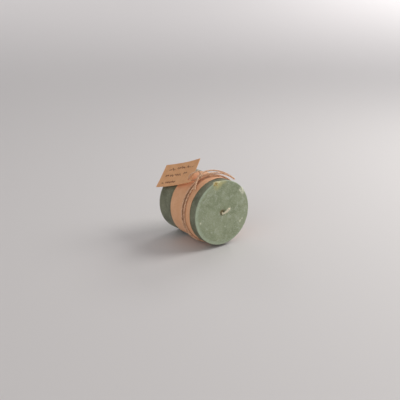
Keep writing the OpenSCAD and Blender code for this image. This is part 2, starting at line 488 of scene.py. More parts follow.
@dataclass(frozen=True)
class WaxFinish:
    """Cast sage-green wax: frosted pale ends, a smooth side painted darker as shade, worn rims with a
    painted highlight, and pale flecks.
    """

    lie: Lie
    face: Colour = tone(159, 168, 138)
    shade: Colour = tone(142, 152, 121)
    milk: Colour = tone(196, 203, 182)
    # Painted shade: the side's colours are darker than the ends' colours, standing in for shade.
    side: Colour = tone(122, 125, 102)
    side_shade: Colour = tone(100, 103, 82)
    # Pale rubbed wax on the rims, which also serves as a painted highlight along them.
    rub: Colour = tone(182, 195, 170)
    chip: Colour = tone(228, 230, 206)
    stain: Colour = tone(204, 196, 136)
    # Brown of the painted shadow in the pit beside the wick.
    pit_shadow: Colour = tone(142, 122, 84)
    streak_turn: float = 38.0
    streak_scale: tuple[float, float, float] = (420, 420, 1500)
    chips: tuple[tuple[float, float, float], ...] = (
        (21.3, -12.7, 2.2), (2.5, -14.4, 1.1), (-26.6, -5.0, 1.5), (24.0, -10.6, 1.3),
    )
    stains: tuple[tuple[float, float, float, float], ...] = (
        (-12, 29.5, 6.5, 0.8), (-3, 30.5, 4.5, 0.7), (5, 31.5, 4.0, 0.5),
    )
    # Middle and reach of the painted shadow beside the wick, in millimetres.
    pit_shadow_at: tuple[float, float, float] = (-0.9, 0.3, 0.8)
    pit_shadow_reach: float = 4.2

    def material(self) -> bpy.types.Material:
        """Build the material."""
        s = Shader("sage_wax")
        at = s.candle_coords(self.lie)
        clouds = s.ramp(s.noise(at, 55, 4, 0.8), 0.35, 0.65)
        swirls = s.noise(at, 190, 6, 0.9)
        grain = s.noise(at, 900, 4)
        end = s.attribute("end_face")
        colour = s.mix(clouds, self.shade, self.face)
        # Painted shade: away from the end faces, the wax takes the darker side colours.
        colour = s.mix(end, s.mix(clouds, self.side_shade, self.side), colour)
        milky = s.math("MULTIPLY", s.ramp(swirls, 0.46, 0.74), s.ramp(grain, 0.36, 0.66, 0.9, 0.2))
        colour = s.mix(s.math("MULTIPLY", milky, s.ramp(end, 0.0, 1.0, 0.9, 0.3)), colour, self.milk)
        wipes = s.noise(s.stretched(at, self.streak_scale, self.streak_turn), 1.0, 4, 1.2)
        wiped = s.ramp(end, 0.0, 1.0, 1.0, 0.12)
        pale_wipes = s.math("MULTIPLY", s.ramp(wipes, 0.5, 0.68, 0.34), wiped)
        colour = s.mix(pale_wipes, colour, self.milk)
        dark_wipes = s.math("MULTIPLY", s.ramp(wipes, 0.46, 0.3, 0.24), wiped)
        colour = s.mix(dark_wipes, colour, self.side_shade)
        flecks = s.math(
            "MULTIPLY", s.ramp(s.cells(at, 620), 0.3, 0.1), s.ramp(s.noise(at, 240), 0.44, 0.6)
        )
        flecked = s.math("MULTIPLY", flecks, s.ramp(end, 0.0, 1.0, 0.85, 0.3))
        colour = s.mix(flecked, colour, self.milk)
        for x, z, size in self.chips:
            spot = s.near(at, Vector((x, 0, z)), size, 0.7)
            colour = s.mix(s.math("MULTIPLY", spot, s.ramp(grain, 0.35, 0.6)), colour, self.chip)
        # Rubbed pale wax on the rims, partly a painted highlight, broadest on the left and lower rim.
        rubbed_and_highlit = s.math("MULTIPLY", s.attribute("wear_and_highlight"), s.ramp(grain, 0.2, 0.6, 0.95, 0.6))
        colour = s.mix(rubbed_and_highlit, colour, self.rub)
        for angle, radius, size, share in self.stains:
            tinge = s.near(at, on_ring(angle, radius, 0), size, 0.95)
            stained = s.math("MULTIPLY", tinge, s.ramp(swirls, 0.3, 0.55, share, 0.3))
            colour = s.mix(stained, colour, self.stain)
        # Painted shadow: a brown patch left of the wick, where the pit around it lies in shade.
        pit = s.near(at, Vector(self.pit_shadow_at), self.pit_shadow_reach, 0.9)
        colour = s.mix(s.math("MULTIPLY", pit, 0.7), colour, self.pit_shadow)
        colour = s.mix(s.attribute("fresh"), colour, self.chip)
        s.set(
            Base_Color=colour,
            Roughness=s.ramp(swirls, 0.3, 0.7, 0.6, 0.46),
            IOR=1.44,
            Subsurface_Weight=0.12,
            Subsurface_Radius=(1.0, 1.1, 0.7),
            Subsurface_Scale=0.0012,
        )
        fine = s.bump(grain, 0.07)
        s.set(Normal=s.bump(s.ramp(s.cells(at, 300), 0.0, 0.25), 0.05, fine))
        return s.material


@dataclass(frozen=True)
class FragmentFinish:
    """A clear yellow-olive wax fragment that pales towards the crest."""

    lie: Lie
    amber: Colour = tone(168, 142, 74)
    pale: Colour = tone(218, 214, 168)

    def material(self) -> bpy.types.Material:
        """Build the material."""
        s = Shader("yellow_fragment")
        at = s.candle_coords(self.lie)
        veins = s.noise(at, 420, 4, 1.2)
        core = s.near(at, on_ring(-15.0, 31.0, 0.5), 5.0, 0.8)
        share = s.math("MULTIPLY", core, s.ramp(veins, 0.62, 0.4, 1.0, 0.25))
        colour = s.mix(share, self.pale, self.amber)
        s.set(Base_Color=colour, Roughness=0.38, IOR=1.44, Subsurface_Weight=0.25,
              Subsurface_Radius=(1.6, 1.2, 0.5), Subsurface_Scale=0.0015)
        s.set(Normal=s.bump(veins, 0.08))
        return s.material


@dataclass(frozen=True)
class CottonFinish:
    """Waxed cotton braid, browner where it leaves the wax."""

    lie: Lie
    cotton: Colour = tone(254, 249, 230)
    thread: Colour = tone(240, 228, 190)
    waxed: Colour = tone(196, 172, 116)

    def material(self) -> bpy.types.Material:
        """Build the material."""
        s = Shader("cotton_braid")
        yarn = s.noise(s.uv_coords(220, 5), 3.0, 3)
        colour = s.mix(s.ramp(yarn, 0.35, 0.65), self.thread, self.cotton)
        root = s.near(s.candle_coords(self.lie), Vector((0, 1.4, 0)), 2.4, 0.6)
        colour = s.mix(s.math("MULTIPLY", root, 0.7), colour, self.waxed)
        s.set(Base_Color=colour, Roughness=0.72)
        s.set(Normal=s.bump(yarn, 0.06))
        return s.material


@dataclass(frozen=True)
class TinFinish:
    """Thin stamped tinplate with a spangled, slightly scuffed surface."""

    metal: Colour = tone(196, 197, 198)
    dull: Colour = tone(150, 149, 146)

    def material(self) -> bpy.types.Material:
        """Build the material."""
        s = Shader("tinplate")
        at = s.object_coords()
        spangle = s.cells(at, 500)
        scuff = s.noise(at, 600, 5)
        s.set(
            Base_Color=s.mix(s.ramp(scuff, 0.45, 0.75, 0.6), self.metal, self.dull),
            Metallic=1.0,
            Roughness=s.ramp(spangle, 0.0, 0.7, 0.42, 0.28),
        )
        s.set(Normal=s.bump(scuff, 0.004))
        return s.material


@dataclass(frozen=True)
class KraftFinish:
    """Uncoated kraft paper or card with fine fibres, and pen strokes on a card.

    Args:
        name: Name of the material.
        size: The sheet's length and width in metres, which its UV map covers.
        sheet: Main colour.
        dark: Colour of the darker fibres.
        light: Colour of the paler patches.
        pen_rows: Rows of strokes, as (middle, start, end, height) in shares of the sheet.
        tie_shade: Middle and half width, in shares of the sheet, of a strip of painted shade along a
            tie.
        ink: Colour of the strokes.
        tie_shade_colour: Colour of the painted shade along the tie.
    """

    name: str
    size: tuple[float, float]
    sheet: Colour
    dark: Colour
    light: Colour
    pen_rows: tuple[tuple[float, float, float, float], ...] = ()
    # Painted shade: where the darker strip along a tie lies, and how wide it is.
    tie_shade: tuple[float, float] | None = None
    ink: Colour = tone(118, 70, 38)
    # Colour of the painted shade along a tie.
    tie_shade_colour: Colour = tone(132, 88, 56)
    pen_beat: float = 116.0
    pen_waver: float = 7.0
    pen_drift: float = 2.4
    pen_core: float = 0.012
    pen_edge: float = 0.042

    def strokes(self, s: Shader) -> Socket:
        """Rows of a wavering pen line that spell nothing.

        Args:
            s: The material's builder.

        Returns:
            1 on a stroke and 0 off it.
        """
        split = s.node("ShaderNodeSeparateXYZ")
        s.feed(s.uv_coords(), split.inputs[0])
        along, up = split.outputs["X"], split.outputs["Y"]
        drawn = s.uv_coords(1.0, 0.25)
        waver = s.noise(drawn, 13, 0)
        swing = s.ramp(s.noise(drawn, 16, 0), 0.3, 0.7, 1.1, 0.5)
        gaps = s.ramp(s.noise(drawn, 12, 0), 0.36, 0.42)
        made: Socket | float = 0.0
        for middle, start, end, height in self.pen_rows:
            beat = s.math("MULTIPLY", along, self.pen_beat)
            phase = s.math("ADD", beat, s.math("MULTIPLY", waver, self.pen_waver))
            quick = s.math("MULTIPLY", s.math("MULTIPLY", s.math("SINE", phase), swing), height)
            slow = s.math("MULTIPLY", s.math("SUBTRACT", waver, 0.5), height * self.pen_drift)
            line = s.math("ADD", s.math("ADD", quick, slow), middle)
            apart = s.math("ABSOLUTE", s.math("SUBTRACT", up, line))
            row = s.math("MULTIPLY", s.ramp(apart, self.pen_edge, self.pen_core), gaps)
            row = s.math("MULTIPLY", row, s.ramp(along, start, start + 0.02))
            row = s.math("MULTIPLY", row, s.ramp(along, end, end - 0.02))
            made = s.math("MAXIMUM", row, made)
        return made

    def material(self) -> bpy.types.Material:
        """Build the material."""
        s = Shader(self.name)
        at = s.uv_coords(*self.size)
        fibres = s.noise(s.uv_coords(self.size[0], self.size[1] * 6), 700, 4, 0.6)
        patches = s.noise(at, 120, 3)
        flecks = s.noise(s.uv_coords(self.size[0] * 3, self.size[1]), 1100, 2)
        colour = s.mix(s.ramp(patches, 0.3, 0.7), self.sheet, self.light)
        colour = s.mix(s.ramp(fibres, 0.52, 0.78, 0.6), colour, self.dark)
        colour = s.mix(s.ramp(flecks, 0.66, 0.76, 0.55), colour, self.dark)
        if self.pen_rows:
            colour = s.mix(s.math("MULTIPLY", self.strokes(s), 0.9), colour, self.ink)
        # Painted shade: the paper darkens in a strip along the twine's turns, which shade it, more
        # strongly in some patches than others.
        if self.tie_shade:
            middle, half = self.tie_shade
            split = s.node("ShaderNodeSeparateXYZ")
            s.feed(s.uv_coords(), split.inputs[0])
            apart = s.math("ABSOLUTE", s.math("SUBTRACT", split.outputs["Y"], middle))
            strip = s.ramp(apart, half, half * 0.3)
            uneven = s.ramp(patches, 0.2, 0.7, 0.66, 0.32)
            colour = s.mix(s.math("MULTIPLY", strip, uneven), colour, self.tie_shade_colour)
        s.set(Base_Color=colour, Roughness=0.86, Sheen_Weight=0.08, Sheen_Roughness=0.6)
        s.set(Normal=s.bump(patches, 0.05, s.bump(fibres, 0.04)))
        return s.material


@dataclass(frozen=True)
class PasteFinish:
    """Dry paper paste between the two layers of the lap."""

    paste: Colour = tone(214, 200, 164)
    dry: Colour = tone(186, 168, 128)

    def material(self) -> bpy.types.Material:
        """Build the material."""
        s = Shader("dry_paste")
        grain = s.noise(s.object_coords(), 800, 3)
        s.set(Base_Color=s.mix(s.ramp(grain, 0.35, 0.65), self.paste, self.dry), Roughness=0.55)
        s.set(Normal=s.bump(grain, 0.03))
        return s.material


@dataclass(frozen=True)
class JuteFinish:
    """Natural jute: pale and tan fibres that run along each ply."""

    name: str = "jute_ply"
    pale: Colour = tone(248, 214, 180)
    tan: Colour = tone(206, 156, 120)
    dark: Colour = tone(88, 54, 34)

    def material(self) -> bpy.types.Material:
        """Build the material."""
        s = Shader(self.name)
        fibres = s.noise(s.uv_coords(260, 9), 1.0, 4)
        lengths = s.noise(s.uv_coords(60, 1), 1.0, 3)
        colour = s.mix(s.ramp(fibres, 0.36, 0.62), self.tan, self.pale)
        colour = s.mix(s.ramp(fibres, 0.47, 0.3, 0.9), colour, self.dark)
        colour = s.mix(s.ramp(lengths, 0.5, 0.72, 0.4), colour, self.tan)
        s.set(Base_Color=colour, Roughness=0.82, Sheen_Weight=0.15, Sheen_Roughness=0.5)
        s.set(Normal=s.bump(fibres, 0.12))
        return s.material


@dataclass(frozen=True)
class FloorFinish:
    """Plain pale seamless ground."""

    paper: Colour = tone(214, 211, 210)

    def material(self) -> bpy.types.Material:
        """Build the material."""
        s = Shader("pale_ground")
        s.set(Base_Color=self.paper, Roughness=0.7)
        return s.material


# ---------------------------------------------------------------- the candle


def finish_piece(
    piece: bpy.types.Object,
    body: Body,
    material: bpy.types.Material,
    nodes: Sequence[str] = (),
) -> None:
    """Dress a piece, put it on its body and hide the nodes that it stands for.

    Args:
        piece: The piece, already in place.
        body: The body that it rides on.
        material: Its material.
        nodes: The nodes that it replaces.
    """
    piece.data.materials.clear()
    piece.data.materials.append(material)
    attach(piece, body.value)
    if nodes:
        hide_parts(*nodes)
    piece.data.calc_loop_triangles()
    LOG.info("%s: %d triangles on %s", piece.name, len(piece.data.loop_triangles), body.value)


@dataclass
class WaxPillar:
    """The wax pillar, its yellow rim fragment, its wick and its tinplate tab."""

    lie: Lie
    rim: float = 0.8
    steps: int = 256
    face_step: float = 0.6
    side_step: float = 1.0
    bore: float = 1.15
    pit: float = 4.0
    pit_depth: float = 1.2
    tab_radius: float = 10.0
    tab_gap: float = 0.05
    tab_inset: float = 0.1
    tab_thickness: float = 0.4
    neck_radius: float = 2.0
    neck_length: float = 6.0
    ridges: tuple[float, float] = (5.4, 8.2)
    ridge_rise: float = 0.07
    knocks: tuple[tuple[float, float, float], ...] = ((-57, 3.5, 0.7), (52.6, 5, 0.9), (128, 4, 0.6))
    burr_angle: float = 52.6
    burr_spread: float = 9.0
    burr_inner: float = 27.0
    # Width of the rubbed rims and their painted highlight.
    rub_and_highlight_width: float = 3.4
    fragment_from: float = -20.5
    fragment_to: float = -3.5
    fragment_in: float = 4.1
    fragment_depth: float = 4.3
    strand_radius: float = 0.54
    strand_sway: float = 0.56
    strand_rise: float = 0.36
    braid_pitch: float = 4.2
    wick_step: float = 0.4
    stub_swell: float = 0.3
    stub_fuzz: int = 26
    stub: tuple[tuple[float, float, float], ...] = (
        (0, 1.3, 0), (-0.2, -0.6, -0.6), (2.2, -2.6, 1.3), (5.3, -4.2, 4.6),
    )

    def outline(self) -> list[tuple[float, float]]:
        """The pillar's section from the bore over the face, side and base, as a closed outline."""
        radius, length = self.lie.radius, self.lie.length
        flat = radius - self.rim
        neck_end = length - self.tab_inset - self.tab_thickness - self.neck_length - self.tab_gap
        seat = length - self.tab_inset - self.tab_thickness - self.tab_gap
        bore = [(self.bore, float(y)) for y in np.linspace(neck_end, self.pit_depth, 14)]
        pit = [
            (float(r), self.pit_depth * (1 - ease((r - self.bore) / (self.pit - self.bore))))
            for r in np.linspace(self.bore, self.pit, 9)[1:]
        ]
        face_rings = np.linspace(self.pit, flat, int((flat - self.pit) / self.face_step))[1:]
        face = [(float(r), 0.0) for r in face_rings]
        turns = np.radians(np.linspace(0, 90, 7)[1:])
        front = [(flat + self.rim * math.sin(a), self.rim * (1 - math.cos(a))) for a in turns]
        side = [
            (radius, float(y))
            for y in np.linspace(self.rim, length - self.rim, int(length / self.side_step))[1:]
        ]
        back = [(flat + self.rim * math.cos(a), length - self.rim * (1 - math.sin(a))) for a in turns]
        hole = self.tab_radius + self.tab_gap
        base = [(float(r), length) for r in np.linspace(flat, hole, 18)[1:]]
        neck = self.neck_radius + self.tab_gap
        floor = [(float(r), seat) for r in np.linspace(hole, neck, 7)]
        return bore + pit + face + front + side + back + base + floor + [(neck, neck_end)]

    def knock_at(self, p: Vector) -> tuple[Vector, float]:
        """Break the front rim where it was knocked.

        Args:
            p: A point of the pillar.

        Returns:
            The point after the knocks, and how freshly broken it is from 0 to 1.
        """
        fresh = 0.0
        for angle, width, depth in self.knocks:
            out = on_ring(angle, 1, 0)
            side = on_ring(angle + 90, 1, 0)
            reach = 1 - (p.dot(side) / (width / 2)) ** 2
            if p.dot(out) < 0 or reach <= 0 or p.y > 3:
                continue
            rough = 0.85 + 0.5 * noise.noise(p * 1.3)
            excess = p.dot(out) - p.y - (self.lie.radius - depth * rough * min(1.0, reach * 1.6))
            if excess > 0:
                p = p - out * (excess / 2)
                p.y += excess / 2
                fresh = min(1.0, excess * 3)
        return p, fresh

    def uneven(self, p: Vector) -> tuple[Vector, float, float, float]:
        """Where a point of the clean pillar lies on the real one.

        Args:
            p: A point of the clean pillar, in millimetres.

        Returns:
            The point on the handled pillar, how rubbed it is with its painted rim highlight, how
            freshly broken it is, and how far it belongs to an end face, each from 0 to 1.
        """
        radius = math.hypot(p.x, p.z)
        in_base = p.y > self.lie.length / 2 and radius < self.tab_radius + 0.5
        if radius < self.bore + 0.2 or in_base:
            return p, 0.0, 0.0, 1.0
        out = Vector((p.x, 0, p.z)) / radius
        angle = math.degrees(math.atan2(p.x, p.z))
        edge = min(p.y, self.lie.length - p.y)
        on_side = ease(edge / self.rim)
        # The rubbed rim and its painted highlight are broadest on the left and lower rim.
        broad = self.rub_and_highlight_width * (0.9 + 0.65 * math.cos(math.radians(angle + 130)))
        inwards = max(0.0, self.lie.radius - self.rim * 0.5 - radius) / broad
        wear_and_highlight = ease(1 - math.hypot(inwards, max(0.0, edge - 0.3) / 0.7))
        patchy = 0.72 + 0.3 * math.cos(math.radians(angle + 105)) + 0.5 * noise.noise(p * 0.4)
        wear_and_highlight *= wear_and_highlight ** 0.5 * patchy
        shrink = 0.035 + 0.03 * noise.noise(p * 0.12) + 0.012 * noise.noise(p * 0.9)
        moved = p - out * (shrink * on_side)
        if edge < self.rim:
            rim_wave = 0.10 + 0.12 * noise.noise(p * 0.4)
            moved -= out * (rim_wave * ease((radius - self.lie.radius + 2.5) / 2.5) * (1 - on_side))
        sign = 1 if p.y < self.lie.length / 2 else -1
        sink = 0.12 * noise.noise(p * 0.07) + 0.05 * noise.noise(p * 0.3)
        sink += 0.02 * noise.noise(p * 1.1)
        inner = 1 - ease((radius - self.lie.radius + 1.6) / 1.6)
        moved.y += sign * (1 - on_side) * max(-0.12, sink) * inner * ease((radius - 1.3) / 2)
        wear_and_highlight = min(1.0, max(0.0, wear_and_highlight))
        if p.y > self.lie.length / 2:
            return moved, wear_and_highlight, 0.0, 1 - on_side
        moved, fresh = self.knock_at(moved)
        off = abs(angle - self.burr_angle) / self.burr_spread
        if off < 1 and p.y < 2.5 and radius > self.burr_inner:
            reach = (1 - off ** 2) * ease((radius - self.burr_inner) / 2.2)
            lump = max(0.0, 0.45 + noise.noise(p * 0.9)) * reach
            moved += (out - Vector((0, 1, 0))) * 0.42 * lump
            fresh = max(fresh, ease(lump * 2.4))
        return moved, wear_and_highlight, min(1.0, fresh), 1 - on_side

    def build_pillar(self) -> None:
        """Model the pillar, with its dents, knocks and burr, and its attribute of wear and painted
        rim highlight.
        """
        piece = spin_outline("wax_pillar", self.outline(), self.steps)
        moved = [self.uneven(Vector(p)) for p in read_points(piece)]
        write_points(piece, np.array([tuple(m[0]) for m in moved]))
        for i, name in enumerate(("wear_and_highlight", "fresh", "end_face"), start=1):
            layer = piece.data.attributes.new(name, "FLOAT", "POINT")
            layer.data.foreach_set("value", np.array([m[i] for m in moved], np.float32))
        lay_down(piece, self.lie)
        finish_piece(piece, Body.CANDLE, WaxFinish(self.lie).material(), ["wax_body"])

    def fragment_point(self, u: float, v: float) -> Vector:
        """A point of the fragment's outer skin, which dips into the wax round its ragged edge."""
        angle = self.fragment_from + (self.fragment_to - self.fragment_from) * u
        flat = self.lie.radius - self.rim
        face_run = self.fragment_in - self.rim
        arc_run = self.rim * math.pi / 2
        run = v * (face_run + arc_run + self.fragment_depth - self.rim)
        if run < face_run:
            radius, y, lean = flat - face_run + run, 0.0, 0.0
        elif run < face_run + arc_run:
            lean = (run - face_run) / self.rim
            radius, y = flat + self.rim * math.sin(lean), self.rim * (1 - math.cos(lean))
        else:
            radius, y, lean = self.lie.radius, self.rim + run - face_run - arc_run, math.pi / 2
        p = on_ring(angle, radius, y)
        reach = 1 - math.hypot(2 * u - 1, 2 * v - 1) + 0.4 * noise.noise(p * 0.45)
        reach += 0.12 * noise.noise(p * 1.5)
        height = -0.45 + 0.52 * ease(reach / 0.3) + 0.05 * noise.noise(p * 1.4)
        return p + on_ring(angle, height * math.sin(lean), -height * math.cos(lean))

    def build_fragment(self) -> None:
        """Model the yellow fragment as a lump that fills its place in the rim."""
        piece = wrap_grid("rim_fragment", 48, 44, self.fragment_point)
        thicken(piece, 1.6, -1.0)
        tidy_normals(piece)
        lay_down(piece, self.lie)
        finish_piece(
            piece, Body.CANDLE, FragmentFinish(self.lie).material(), ["rim_inclusion"]
        )

    def build_wick(self) -> None:
        """Braid the wick from three strands, from the tab to its leaning, cut tip."""
        foot = self.lie.length - self.tab_inset
        route = [Vector((0, y, 0)) for y in (foot, 30, 8)] + [Vector(p) for p in self.stub]
        path = resample(smooth_route(route), self.wick_step)
        _, u, v = transport(path)
        along = np.arange(len(path)) * self.wick_step
        fluff = 1 + self.stub_swell * np.array([ease((a - along[-1] + 7.0) / 3.0) for a in along])
        strands = []
        for k in range(3):
            phase = 2 * math.pi * (along / self.braid_pitch + k / 3)
            centre = path + (self.strand_sway * np.sin(phase) * fluff)[:, None] * u
            centre = centre + (self.strand_rise * np.sin(2 * phase) * fluff)[:, None] * v
            radii = self.strand_radius * (1 + 0.06 * np.sin(along * 5.3 + k)) * fluff
            radii[[0, -1]] *= 0.55
            strands.append((centre, radii))
        rng = random.Random(11)
        tip, lead = path[-1], path[-1] - path[-3]
        for _ in range(self.stub_fuzz):
            spread = np.array([rng.uniform(-0.7, 0.7) for _ in range(3)])
            go = lead / np.linalg.norm(lead) * rng.uniform(0.5, 1.3) + spread * 0.5
            reach = np.linspace(-0.4, 1, 4)[:, None]
            strands.append((tip + spread * 0.7 + reach * go, np.linspace(0.07, 0.03, 4)))
        piece = sweep("braided_wick", strands, 8)
        lay_down(piece, self.lie, 60)
        finish_piece(piece, Body.CANDLE, CottonFinish(self.lie).material(), ["wick"])

    def build_tab(self) -> None:
        """Spin the tinplate tab, with two stamped ridges and a crimped neck."""
        under = self.lie.length - self.tab_inset
        over = under - self.tab_thickness
        end = over - self.neck_length

        def ridge(radius: float) -> float:
            """Height of the stamped ridges at a radius."""
            return self.ridge_rise * sum(math.exp(-(((radius - r) / 0.5) ** 2)) for r in self.ridges)

        radii = np.linspace(self.bore, self.tab_radius - 0.1, 40)
        below = [(float(r), under + ridge(r)) for r in radii]
        above = [(float(r), over + ridge(r)) for r in radii[::-1] if r > self.neck_radius + 0.25]
        lip = [(self.tab_radius, under - 0.1), (self.tab_radius, over + 0.1)]
        neck = [(self.neck_radius, float(y)) for y in np.linspace(over - 0.25, end, 14)]
        inner = [(self.bore, float(y)) for y in np.linspace(end, under, 14)[:-1]]
        piece = spin_outline("wick_tab_disc", below + lip + above + neck + inner, 96)
        points = read_points(piece)
        radius = np.hypot(points[:, 0], points[:, 2])
        angle = np.arctan2(points[:, 0], points[:, 2])
        crimped = (points[:, 1] < over - 1.2) & (radius > self.bore + 0.3)
        squeeze = np.where(crimped, 1 - 0.1 * np.cos(4 * angle) ** 2, 1.0)
        points[:, [0, 2]] *= squeeze[:, None]
        write_points(piece, points)
        lay_down(piece, self.lie, 35)
        finish_piece(piece, Body.CANDLE, TinFinish().material(), ["wick_tab"])

    def build(self) -> None:
        """Build every piece of the candle."""
        self.build_pillar()
        self.build_fragment()
        self.build_wick()
        self.build_tab()


# ---------------------------------------------------------------- the paper band


@dataclass
class PaperBand:
    """The kraft sleeve with its glued lap."""

    lie: Lie
    start: float = 9.5
    width: float = 33.5
    thickness: float = 0.18
    gap: float = 0.05
    glue: float = 0.08
    lap_from: float = 112.0
    lap_sweep: float = 24.0
    lap_step: float = 4.0
    tied_from: float = 14.5
    tied_to: float = 24.5
    tie_at: float = TIE_Y
    # Half width of the painted shade along the twine's turns.
    tie_shade_half: float = 3.7
    loose_over: float = 6.0
    lap_over: float = 10.0

    @property
    def flat_size(self) -> tuple[float, float]:
        """Length and width of the flat sheet, in metres."""
        run = math.radians(360 + self.lap_sweep) * (self.lie.radius + self.gap) * MM
        return run, self.width * MM

    def point(self, u: float, v: float) -> Vector:
        """A point of the sheet's middle layer, with its buckles and its hand-cut edges."""
        angle = self.lap_from + (360 + self.lap_sweep) * u
        radius = self.lie.radius + self.gap + self.thickness / 2
        climb = (angle - self.lap_from - 360 + self.lap_step) / self.lap_step
        radius += (self.thickness + self.glue) * ease(climb)
        y = self.start + self.width * v
        flat = on_ring(angle, 30, y)
        cut = 0.22 * noise.noise(flat * 0.16) + 0.07 * noise.noise(flat * 0.8)
        y += cut * (2 * v - 1) * abs(2 * v - 1) ** 6
        from_tie = max(self.tied_from - y, y - self.tied_to, 0.0)
        past_lap = ease((angle - self.lap_from - self.lap_sweep) / self.lap_over)
        loose = ease(from_tie / self.loose_over) * (1 - ease(climb + 1)) * past_lap
        swell = max(0.0, 0.2 + 0.5 * noise.noise(on_ring(angle, 30, y * 0.6) * 0.09))
        ripple = max(0.0, noise.noise(on_ring(angle, 12, 3) * 0.5))
        lift = max(0.0, abs(2 * v - 1) - 0.7) * ripple * 1.2
        return on_ring(angle, radius + loose * (swell * 0.5 + lift), y)

    def build(self) -> None:
        """Wrap, thicken and dress the band, and dress the paste under its lap."""
        piece = wrap_grid("kraft_band", 420, 36, self.point)
        thicken(piece, self.thickness)
        tidy_normals(piece)
        lay_down(piece, self.lie, 50)
        kraft = KraftFinish(
            "kraft_paper", self.flat_size,
            tone(230, 174, 130), tone(190, 132, 92), tone(237, 184, 142),
            # Painted shade along the twine's turns.
            tie_shade=((self.tie_at - self.start) / self.width, self.tie_shade_half / self.width),
        )
        finish_piece(piece, Body.BAND, kraft.material(), ["paper_band"])
        paste = frame["nodes"]["band_glue"]
        paste.data.materials.clear()
        paste.data.materials.append(PasteFinish().material())
        LOG.info("band_glue dressed")


# ---------------------------------------------------------------- the jute tie


